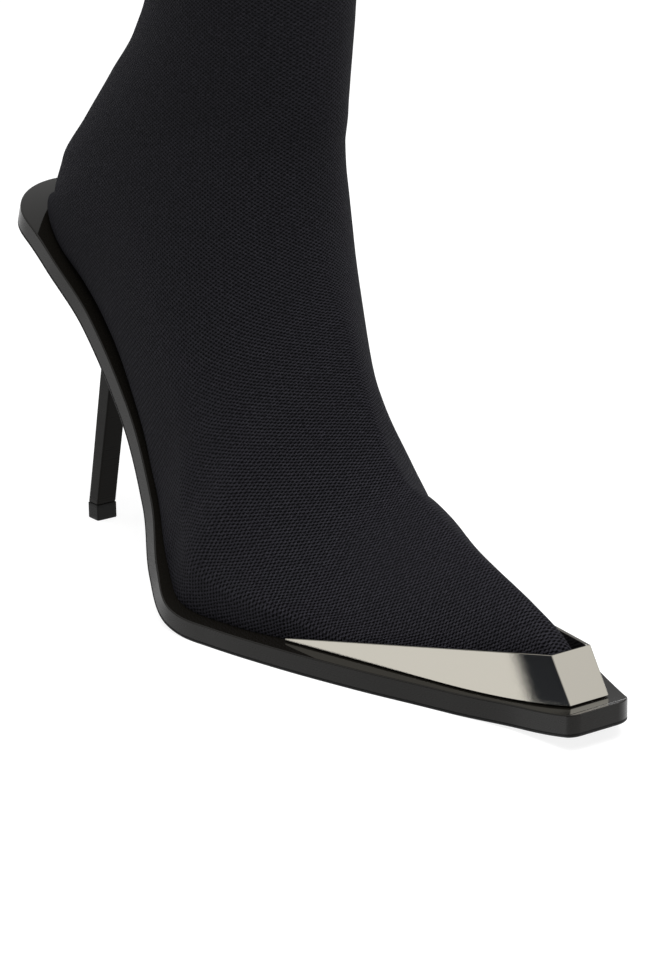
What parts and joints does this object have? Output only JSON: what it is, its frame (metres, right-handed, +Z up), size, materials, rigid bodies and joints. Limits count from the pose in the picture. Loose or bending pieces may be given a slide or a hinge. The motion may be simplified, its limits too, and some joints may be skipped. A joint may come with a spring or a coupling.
{
  "type": "sock boot",
  "caption": "Pointed sock boot: a stretch-knit upper on a thin raised slab sole with a slim post heel and a folded metal toe cap.",
  "frame": {"origin": "on the floor under the middle of the forefoot tread", "axes": "+X towards the toe, +Y towards the inner side of the foot (the wearer's left), +Z up"},
  "size_m": [0.2453, 0.0841, 0.2524],
  "materials": {
    "sole_slab": "black lacquer, glossy on top, satin at the sides",
    "upper_knit": "fine black stretch knit",
    "insole_sock": "smooth black lining leather",
    "heel_post": "satin black lacquer",
    "heel_rubber": "matt black rubber",
    "cap_metal": "polished warm nickel"
  },
  "bodies": {
    "root": {"sole": "sole_slab", "upper": "upper_knit", "insole": "insole_sock", "heel": "heel_post", "heel_tip": "heel_rubber", "toe_cap": "cap_metal"}
  },
  "joints": []
}
